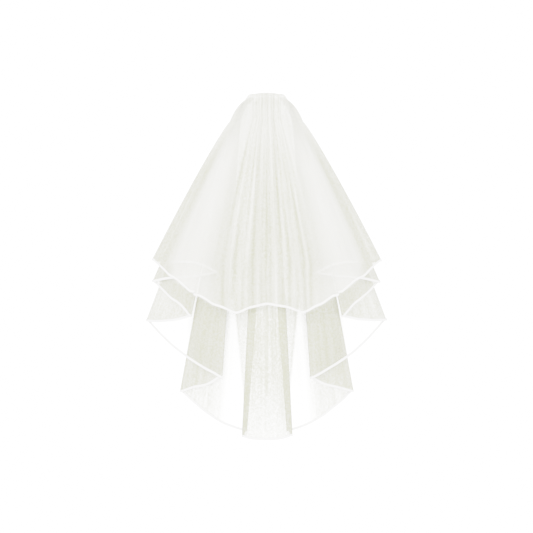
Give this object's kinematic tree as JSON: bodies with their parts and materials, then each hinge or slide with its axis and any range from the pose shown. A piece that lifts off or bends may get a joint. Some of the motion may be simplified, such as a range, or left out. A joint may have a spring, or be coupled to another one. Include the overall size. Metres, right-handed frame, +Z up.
{
  "type": "bridal veil",
  "caption": "Two-tier oval bridal veil of ivory tulle, gathered on a comb at the crown, hanging as worn, with a satin ribbon edge round the whole hem.",
  "frame": {"origin": "middle of the comb's spine, where the hair holds it", "axes": "+Z up, +Y the way the wearer faces, so the back of the veil faces -Y, +X to the right of the veil as seen from behind"},
  "size_m": [0.6124, 0.2015, 0.8636],
  "materials": {
    "tulle": "sheer soft ivory net, slightly shiny",
    "satin": "ivory satin ribbon, soft sheen",
    "comb": "clear frosted plastic"
  },
  "bodies": {
    "root": {"upper_tier": "tulle", "cascade_left": "tulle", "cascade_right": "tulle", "lower_tier": "tulle", "gathered_heading": "tulle", "upper_tier_ribbon": "satin", "cascade_left_ribbon": "satin", "cascade_right_ribbon": "satin", "lower_tier_ribbon": "satin", "comb": "comb"}
  },
  "joints": []
}
